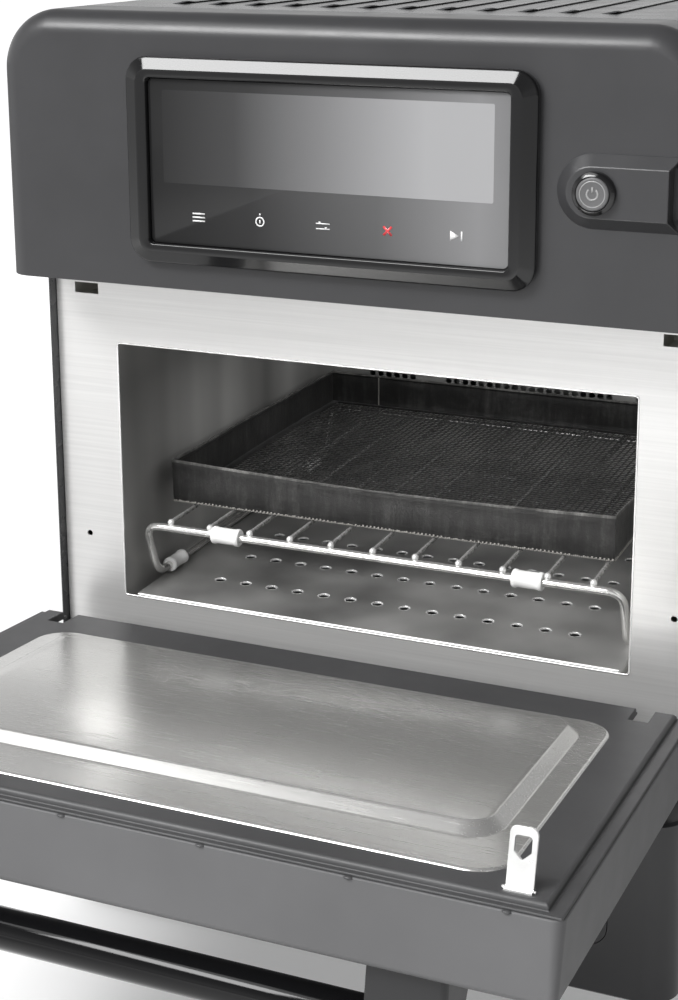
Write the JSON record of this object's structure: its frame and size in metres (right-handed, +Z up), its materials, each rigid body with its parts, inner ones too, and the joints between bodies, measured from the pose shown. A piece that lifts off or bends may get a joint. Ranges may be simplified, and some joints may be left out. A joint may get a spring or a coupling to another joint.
{
  "type": "countertop rapid-cook oven",
  "caption": "Counter-top catering oven with a drop-down door, touch panel, brushed steel cavity, jet plate, sliding wire rack and mesh basket.",
  "frame": {"origin": "on the counter, under the middle of the whole object with its door down", "axes": "+X to the user's right as they face the oven, +Y into the oven, +Z up"},
  "size_m": [0.405, 0.812, 0.568],
  "materials": {
    "casing": "satin black powder coat",
    "chassis": "galvanised sheet",
    "front_steel": "brushed stainless",
    "cavity_steel": "brushed stainless",
    "pan_steel": "satin pressed stainless",
    "fascia_plastic": "fine-textured black",
    "door_shell_paint": "satin dark grey",
    "door_frame_plastic": "satin black",
    "handle_plastic": "satin black",
    "grip_metal": "gloss black tube",
    "bezel_gloss": "piano black",
    "display_glass": "dark touch glass",
    "display_panel": "dark panel",
    "circuit_board": "green board",
    "button_ring": "black ring",
    "button_cap": "dark grey cap",
    "filter_foam": "open-cell filter pad",
    "rack_wire": "polished stainless wire",
    "rack_sleeve": "white ptfe",
    "basket_mesh": "ptfe-coated glass mesh",
    "mineral_wool": "mineral wool",
    "hinge_steel": "zinc-plated",
    "hook_steel": "bright stainless",
    "latch_plastic": "moulded nylon",
    "fan_steel": "stainless",
    "motor_metal": "cast housing",
    "fan_plastic": "black moulded",
    "guide_aluminium": "plain",
    "core_iron": "laminated",
    "winding_copper": "enamelled copper",
    "foot_rubber": "matt",
    "gland_plastic": "matt"
  },
  "bodies": {
    "oven": {"body_wrap": "casing", "rear_panel": "casing", "chassis_base": "chassis", "fan_plenum": "chassis", "front_plate": "front_steel", "cavity_liner": "cavity_steel", "cavity_back_wall": "cavity_steel", "jet_plate": "cavity_steel", "ceiling_jet_plate": "cavity_steel", "upper_fascia": "fascia_plastic", "lower_fascia": "fascia_plastic", "display_bezel": "bezel_gloss", "display_glass": "display_glass", "display_module": "display_panel", "control_board": "circuit_board", "relay_board": "circuit_board", "button_housing": "button_ring", "insulation_jacket": "mineral_wool", "hinge_bracket_left": "hinge_steel", "hinge_bracket_right": "hinge_steel", "latch_housing_left": "latch_plastic", "latch_housing_right": "latch_plastic", "interlock_switches": "latch_plastic", "heater_coil": "fan_steel", "convection_motor": "motor_metal", "magnetron": "motor_metal", "cooling_fan_housing": "fan_plastic", "waveguide": "guide_aluminium", "hv_capacitor": "guide_aluminium", "transformer_core": "core_iron", "transformer_windings": "winding_copper", "foot_front_left": "foot_rubber", "foot_front_right": "foot_rubber", "foot_back_left": "foot_rubber", "foot_back_right": "foot_rubber", "cable_gland": "gland_plastic"},
    "door": {"door_shell": "door_shell_paint", "door_frame": "door_frame_plastic", "door_pan": "pan_steel", "door_insulation": "mineral_wool", "door_choke": "hinge_steel", "latch_hook_left": "hook_steel", "latch_hook_right": "hook_steel", "handle_bracket_left": "handle_plastic", "handle_bracket_right": "handle_plastic", "handle_grip": "grip_metal", "hinge_channel_left": "hinge_steel", "hinge_channel_right": "hinge_steel", "hinge_pins": "hinge_steel"},
    "rack": {"wire_rack": "rack_wire", "rack_cross_wires": "rack_wire", "rack_sleeves": "rack_sleeve"},
    "basket": {"mesh_basket": "basket_mesh"},
    "power_button": {"power_button": "button_cap"},
    "convection_fan": {"convection_impeller": "fan_steel", "convection_shaft": "fan_steel"},
    "cooling_fan": {"cooling_fan_rotor": "fan_plastic"},
    "filter_cover": {"filter_cover": "fascia_plastic", "air_filter": "filter_foam"}
  },
  "joints": [
    {"name": "door_hinge", "type": "hinge", "parent": "oven", "child": "door", "pos_m": [0, -0.167, 0.166], "axis": [1, 0, 0], "range_deg": [-85.1, 0]},
    {"name": "rack_slide", "type": "slide", "parent": "oven", "child": "rack", "axis": [0, -1, 0], "range_m": [0, 0.08]},
    {"name": "basket_slide", "type": "slide", "parent": "rack", "child": "basket", "axis": [0, -1, 0], "range_m": [0, 0.25]},
    {"name": "power_button_press", "type": "slide", "parent": "oven", "child": "power_button", "axis": [0, 1, 0], "range_m": [0, 0.002], "stiffness_N_per_m": 1500},
    {"name": "convection_fan_spin", "type": "hinge", "parent": "oven", "child": "convection_fan", "pos_m": [0, 0.232, 0.2835], "axis": [0, 1, 0], "continuous": true},
    {"name": "cooling_fan_spin", "type": "hinge", "parent": "oven", "child": "cooling_fan", "pos_m": [-0.08, -0.052, 0.091], "axis": [0, 1, 0], "continuous": true},
    {"name": "filter_cover_pull", "type": "slide", "parent": "oven", "child": "filter_cover", "axis": [0, -1, 0], "range_m": [0, 0.03]}
  ]
}
